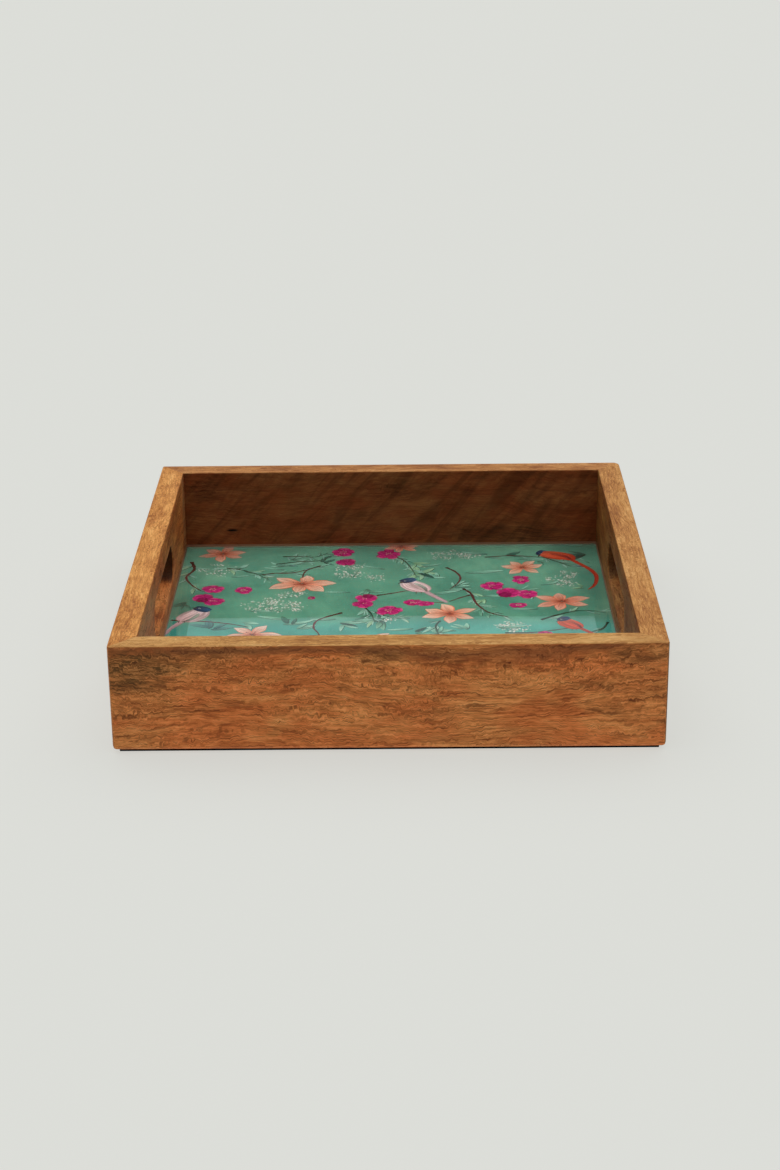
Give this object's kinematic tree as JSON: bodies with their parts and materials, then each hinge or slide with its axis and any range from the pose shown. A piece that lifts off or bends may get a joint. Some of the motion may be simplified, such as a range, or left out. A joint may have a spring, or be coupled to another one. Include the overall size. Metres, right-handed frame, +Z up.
{
  "type": "wooden serving tray",
  "caption": "Square wooden serving tray with mitred walls, a hand slot in the left and right wall, and a printed floor with flowers and birds under clear glossy resin.",
  "frame": {"origin": "on the table that the tray stands on, under the middle of the tray", "axes": "+X to the right, +Y to the back, +Z up; the two walls with a hand slot are the left one at -X and the right one at +X"},
  "size_m": [0.305, 0.305, 0.0642],
  "materials": {
    "front_wood": "oiled, curly grain, satin",
    "side_wood": "oiled, satin",
    "back_wood": "oiled, darker heartwood, satin",
    "base_board": "plain fibreboard, matt",
    "print": "teal print with flowers, leaves and birds, matt",
    "resin": "clear poured resin, mirror gloss",
    "nail": "bright wire nail",
    "filler": "brown wood filler, matt",
    "felt": "black felt, matt"
  },
  "bodies": {
    "root": {"front_wall": "front_wood", "right_wall": "side_wood", "back_wall": "back_wood", "left_wall": "side_wood", "base_board": "base_board", "printed_sheet": "print", "resin_coat": "resin", "corner_nail_front_left_lower": "nail", "filler_plug_front_left_lower": "filler", "corner_nail_front_left_upper": "nail", "filler_plug_front_left_upper": "filler", "corner_nail_back_left_lower": "nail", "filler_plug_back_left_lower": "filler", "corner_nail_back_left_upper": "nail", "filler_plug_back_left_upper": "filler", "corner_nail_front_right_lower": "nail", "filler_plug_front_right_lower": "filler", "corner_nail_front_right_upper": "nail", "filler_plug_front_right_upper": "filler", "corner_nail_back_right_lower": "nail", "filler_plug_back_right_lower": "filler", "corner_nail_back_right_upper": "nail", "filler_plug_back_right_upper": "filler", "base_nail_front_1": "nail", "base_nail_front_2": "nail", "base_nail_front_3": "nail", "base_nail_right_1": "nail", "base_nail_right_2": "nail", "base_nail_right_3": "nail", "base_nail_back_1": "nail", "base_nail_back_2": "nail", "base_nail_back_3": "nail", "base_nail_left_1": "nail", "base_nail_left_2": "nail", "base_nail_left_3": "nail", "felt_strip_front": "felt", "felt_strip_right": "felt", "felt_strip_back": "felt", "felt_strip_left": "felt"}
  },
  "joints": []
}
